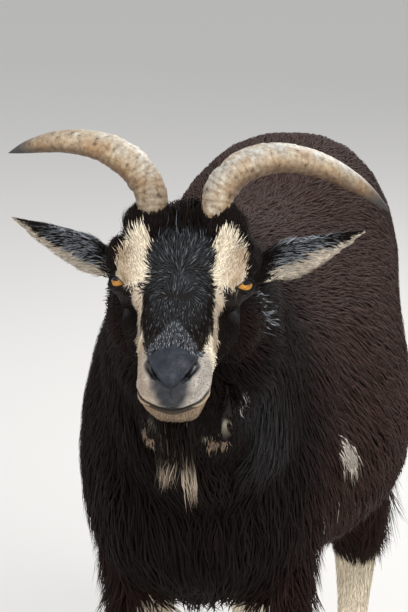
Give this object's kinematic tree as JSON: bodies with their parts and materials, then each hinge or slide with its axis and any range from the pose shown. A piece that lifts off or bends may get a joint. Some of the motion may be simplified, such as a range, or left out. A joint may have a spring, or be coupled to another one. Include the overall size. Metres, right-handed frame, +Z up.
{
  "type": "goat",
  "caption": "Life-size still model of a standing horned goat with a long dark coat, pale brow and face stripes, curved horns, beard and pale lower legs.",
  "frame": {"origin": "on the floor under the middle of the goat's box", "axes": "+Z up, the nose towards -Y, the goat's left side towards +X"},
  "size_m": [0.3936, 1.0948, 0.8612],
  "materials": {
    "coat_dark": "long black and brown goat hair",
    "coat_pale": "short cream goat hair",
    "horn": "ringed horn, dry and lightly polished by wear",
    "hoof": "dull dark hoof horn",
    "eye": "wet amber eye with a dark bar pupil"
  },
  "bodies": {
    "root": {"beard": "coat_dark", "ear_left": "coat_dark", "ear_right": "coat_dark", "eye_left": "eye", "eye_right": "eye", "fore_left_claw_inner": "hoof", "fore_left_claw_outer": "hoof", "fore_left_dewclaw_inner": "hoof", "fore_left_dewclaw_outer": "hoof", "fore_left_lower_leg": "coat_pale", "fore_left_upper_leg": "coat_dark", "fore_right_claw_inner": "hoof", "fore_right_claw_outer": "hoof", "fore_right_dewclaw_inner": "hoof", "fore_right_dewclaw_outer": "hoof", "fore_right_lower_leg": "coat_pale", "fore_right_upper_leg": "coat_dark", "head": "coat_dark", "hind_left_claw_inner": "hoof", "hind_left_claw_outer": "hoof", "hind_left_dewclaw_inner": "hoof", "hind_left_dewclaw_outer": "hoof", "hind_left_lower_leg": "coat_pale", "hind_left_upper_leg": "coat_dark", "hind_right_claw_inner": "hoof", "hind_right_claw_outer": "hoof", "hind_right_dewclaw_inner": "hoof", "hind_right_dewclaw_outer": "hoof", "hind_right_lower_leg": "coat_pale", "hind_right_upper_leg": "coat_dark", "horn_left": "horn", "horn_right": "horn", "neck": "coat_dark", "tail": "coat_dark", "trunk": "coat_dark", "wattle_left": "coat_pale", "wattle_right": "coat_pale"}
  },
  "joints": []
}
